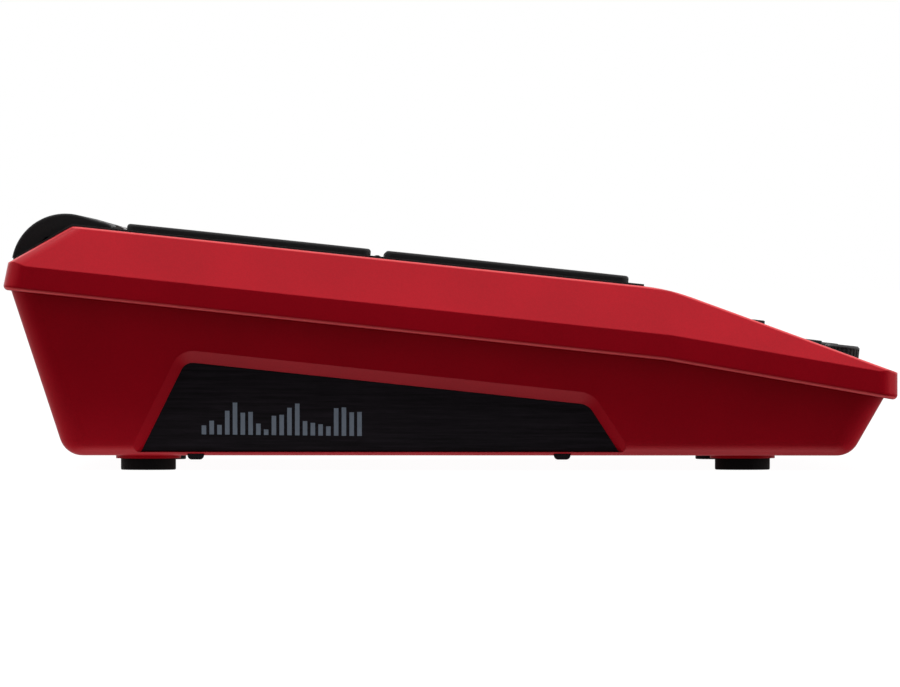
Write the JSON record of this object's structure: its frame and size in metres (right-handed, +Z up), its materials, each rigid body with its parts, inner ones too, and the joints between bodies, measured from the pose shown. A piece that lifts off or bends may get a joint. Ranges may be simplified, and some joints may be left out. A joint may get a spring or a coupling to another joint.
{
  "type": "electronic drum pad",
  "caption": "Wedge-shaped electronic percussion pad: red casing, square black rubber pads, rounded rear pads, sloping control panel with knobs and keys.",
  "frame": {"origin": "on the surface it stands on, below the middle of the casing", "axes": "+X to the player's right, +Y away from the player towards the sockets, +Z up"},
  "size_m": [0.364, 0.3323, 0.0957],
  "materials": {
    "red_casing": "satin red paint with fine metallic grain",
    "brushed_black": "black with fine lengthwise hairlines",
    "black_plastic": "fine moulded texture",
    "panel_black": null,
    "light_bar": "translucent smoke lens",
    "pad_rubber": "matt rubber with a fine grain",
    "knob_black": "ribbed soft black",
    "button_rubber": "dark grey moulded key",
    "display_glass": "clear window",
    "display_dark": "unlit display",
    "circuit_board": "solder mask",
    "chip_black": "moulded package",
    "switch_metal": "plain metal",
    "socket_black": "moulded socket with metal nut",
    "foam": "closed-cell foam",
    "brass": "plain",
    "steel": "zinc-plated",
    "ribbon_grey": "flat cable",
    "foot_rubber": "matt"
  },
  "bodies": {
    "root": {"top_cover": "red_casing", "bottom_case": "red_casing", "side_inlay_right": "brushed_black", "side_inlay_left": "brushed_black", "pad_deck": "black_plastic", "light_bars": "light_bar", "pad_chassis": "steel", "pad_cushions": "foam", "piezo_sensors": "brass", "control_panel": "panel_black", "display_lens": "display_glass", "display_module": "display_dark", "panel_board": "circuit_board", "tact_switches": "switch_metal", "potentiometers": "switch_metal", "main_board": "circuit_board", "board_chips": "chip_black", "jack_board": "circuit_board", "ribbon_cable": "ribbon_grey", "rear_jack_plate": "panel_black", "audio_sockets": "socket_black", "midi_sockets": "socket_black", "usb_sockets": "switch_metal", "power_inlet": "socket_black", "switch_housing": "socket_black", "cord_hook": "black_plastic", "rubber_feet": "foot_rubber", "mount_inserts": "brass", "case_screws": "steel", "board_screws": "steel"},
    "pad_1": {"pad_1": "pad_rubber"},
    "pad_2": {"pad_2": "pad_rubber"},
    "pad_3": {"pad_3": "pad_rubber"},
    "pad_4": {"pad_4": "pad_rubber"},
    "pad_5": {"pad_5": "pad_rubber"},
    "pad_6": {"pad_6": "pad_rubber"},
    "pad_7": {"pad_7": "pad_rubber"},
    "pad_8": {"pad_8": "pad_rubber"},
    "pad_9": {"pad_9": "pad_rubber"},
    "knob_1": {"knob_1": "knob_black", "knob_shaft_1": "steel"},
    "knob_2": {"knob_2": "knob_black", "knob_shaft_2": "steel"},
    "knob_3": {"knob_3": "knob_black", "knob_shaft_3": "steel"},
    "knob_4": {"knob_4": "knob_black", "knob_shaft_4": "steel"},
    "effect_button_1": {"effect_button_1": "button_rubber"},
    "effect_button_2": {"effect_button_2": "button_rubber"},
    "effect_button_3": {"effect_button_3": "button_rubber"},
    "effect_button_4": {"effect_button_4": "button_rubber"},
    "menu_button": {"menu_button": "button_rubber"},
    "exit_button": {"exit_button": "button_rubber"},
    "enter_button": {"enter_button": "button_rubber"},
    "function_button_1": {"function_button_1": "button_rubber"},
    "function_button_2": {"function_button_2": "button_rubber"},
    "function_button_3": {"function_button_3": "button_rubber"},
    "minus_button": {"minus_button": "button_rubber"},
    "plus_button": {"plus_button": "button_rubber"},
    "power_rocker": {"power_rocker": "socket_black"}
  },
  "joints": [
    {"name": "pad_1_press", "type": "slide", "parent": "root", "child": "pad_1", "axis": [0, 0, 1], "range_m": [-0.0007, 0], "stiffness_N_per_m": 20000, "springref_m": 0.0002},
    {"name": "pad_2_press", "type": "slide", "parent": "root", "child": "pad_2", "axis": [0, 0, 1], "range_m": [-0.0007, 0], "stiffness_N_per_m": 20000, "springref_m": 0.0002},
    {"name": "pad_3_press", "type": "slide", "parent": "root", "child": "pad_3", "axis": [0, 0, 1], "range_m": [-0.0007, 0], "stiffness_N_per_m": 20000, "springref_m": 0.0002},
    {"name": "pad_4_press", "type": "slide", "parent": "root", "child": "pad_4", "axis": [0, -0.1044, 0.9945], "range_m": [-0.0007, 0], "stiffness_N_per_m": 20000, "springref_m": 0.0002},
    {"name": "pad_5_press", "type": "slide", "parent": "root", "child": "pad_5", "axis": [0, -0.1044, 0.9945], "range_m": [-0.0007, 0], "stiffness_N_per_m": 20000, "springref_m": 0.0002},
    {"name": "pad_6_press", "type": "slide", "parent": "root", "child": "pad_6", "axis": [0, -0.1044, 0.9945], "range_m": [-0.0007, 0], "stiffness_N_per_m": 20000, "springref_m": 0.0002},
    {"name": "pad_7_press", "type": "slide", "parent": "root", "child": "pad_7", "axis": [0, -0.1044, 0.9945], "range_m": [-0.0007, 0], "stiffness_N_per_m": 20000, "springref_m": 0.0002},
    {"name": "pad_8_press", "type": "slide", "parent": "root", "child": "pad_8", "axis": [0, -0.1044, 0.9945], "range_m": [-0.0007, 0], "stiffness_N_per_m": 20000, "springref_m": 0.0002},
    {"name": "pad_9_press", "type": "slide", "parent": "root", "child": "pad_9", "axis": [0, -0.1044, 0.9945], "range_m": [-0.0007, 0], "stiffness_N_per_m": 20000, "springref_m": 0.0002},
    {"name": "knob_1_turn", "type": "hinge", "parent": "root", "child": "knob_1", "pos_m": [-0.146, -0.14669, 0.04072], "axis": [0, -0.1044, 0.9945], "range_deg": [-150, 150]},
    {"name": "knob_2_turn", "type": "hinge", "parent": "root", "child": "knob_2", "pos_m": [-0.118, -0.14669, 0.04072], "axis": [0, -0.1044, 0.9945], "range_deg": [-150, 150]},
    {"name": "knob_3_turn", "type": "hinge", "parent": "root", "child": "knob_3", "pos_m": [0.06, -0.14669, 0.04072], "axis": [0, -0.1044, 0.9945], "range_deg": [-150, 150]},
    {"name": "knob_4_turn", "type": "hinge", "parent": "root", "child": "knob_4", "pos_m": [0.088, -0.14669, 0.04072], "axis": [0, -0.1044, 0.9945], "range_deg": [-150, 150]},
    {"name": "effect_button_1_press", "type": "slide", "parent": "root", "child": "effect_button_1", "axis": [0, -0.1044, 0.9945], "range_m": [-0.0005, 0], "stiffness_N_per_m": 1500, "springref_m": 0.0005},
    {"name": "effect_button_2_press", "type": "slide", "parent": "root", "child": "effect_button_2", "axis": [0, -0.1044, 0.9945], "range_m": [-0.0005, 0], "stiffness_N_per_m": 1500, "springref_m": 0.0005},
    {"name": "effect_button_3_press", "type": "slide", "parent": "root", "child": "effect_button_3", "axis": [0, -0.1044, 0.9945], "range_m": [-0.0005, 0], "stiffness_N_per_m": 1500, "springref_m": 0.0005},
    {"name": "effect_button_4_press", "type": "slide", "parent": "root", "child": "effect_button_4", "axis": [0, -0.1044, 0.9945], "range_m": [-0.0005, 0], "stiffness_N_per_m": 1500, "springref_m": 0.0005},
    {"name": "menu_button_press", "type": "slide", "parent": "root", "child": "menu_button", "axis": [0, -0.1044, 0.9945], "range_m": [-0.0005, 0], "stiffness_N_per_m": 1500, "springref_m": 0.0005},
    {"name": "exit_button_press", "type": "slide", "parent": "root", "child": "exit_button", "axis": [0, -0.1044, 0.9945], "range_m": [-0.0005, 0], "stiffness_N_per_m": 1500, "springref_m": 0.0005},
    {"name": "enter_button_press", "type": "slide", "parent": "root", "child": "enter_button", "axis": [0, -0.1044, 0.9945], "range_m": [-0.0005, 0], "stiffness_N_per_m": 1500, "springref_m": 0.0005},
    {"name": "function_button_1_press", "type": "slide", "parent": "root", "child": "function_button_1", "axis": [0, -0.1044, 0.9945], "range_m": [-0.0005, 0], "stiffness_N_per_m": 1500, "springref_m": 0.0005},
    {"name": "function_button_2_press", "type": "slide", "parent": "root", "child": "function_button_2", "axis": [0, -0.1044, 0.9945], "range_m": [-0.0005, 0], "stiffness_N_per_m": 1500, "springref_m": 0.0005},
    {"name": "function_button_3_press", "type": "slide", "parent": "root", "child": "function_button_3", "axis": [0, -0.1044, 0.9945], "range_m": [-0.0005, 0], "stiffness_N_per_m": 1500, "springref_m": 0.0005},
    {"name": "minus_button_press", "type": "slide", "parent": "root", "child": "minus_button", "axis": [0, -0.1044, 0.9945], "range_m": [-0.0005, 0], "stiffness_N_per_m": 1500, "springref_m": 0.0005},
    {"name": "plus_button_press", "type": "slide", "parent": "root", "child": "plus_button", "axis": [0, -0.1044, 0.9945], "range_m": [-0.0005, 0], "stiffness_N_per_m": 1500, "springref_m": 0.0005},
    {"name": "power_rocker_tilt", "type": "hinge", "parent": "root", "child": "power_rocker", "pos_m": [-0.128, 0.1444, 0.038], "axis": [1, 0, 0], "range_deg": [0, 16]}
  ]
}
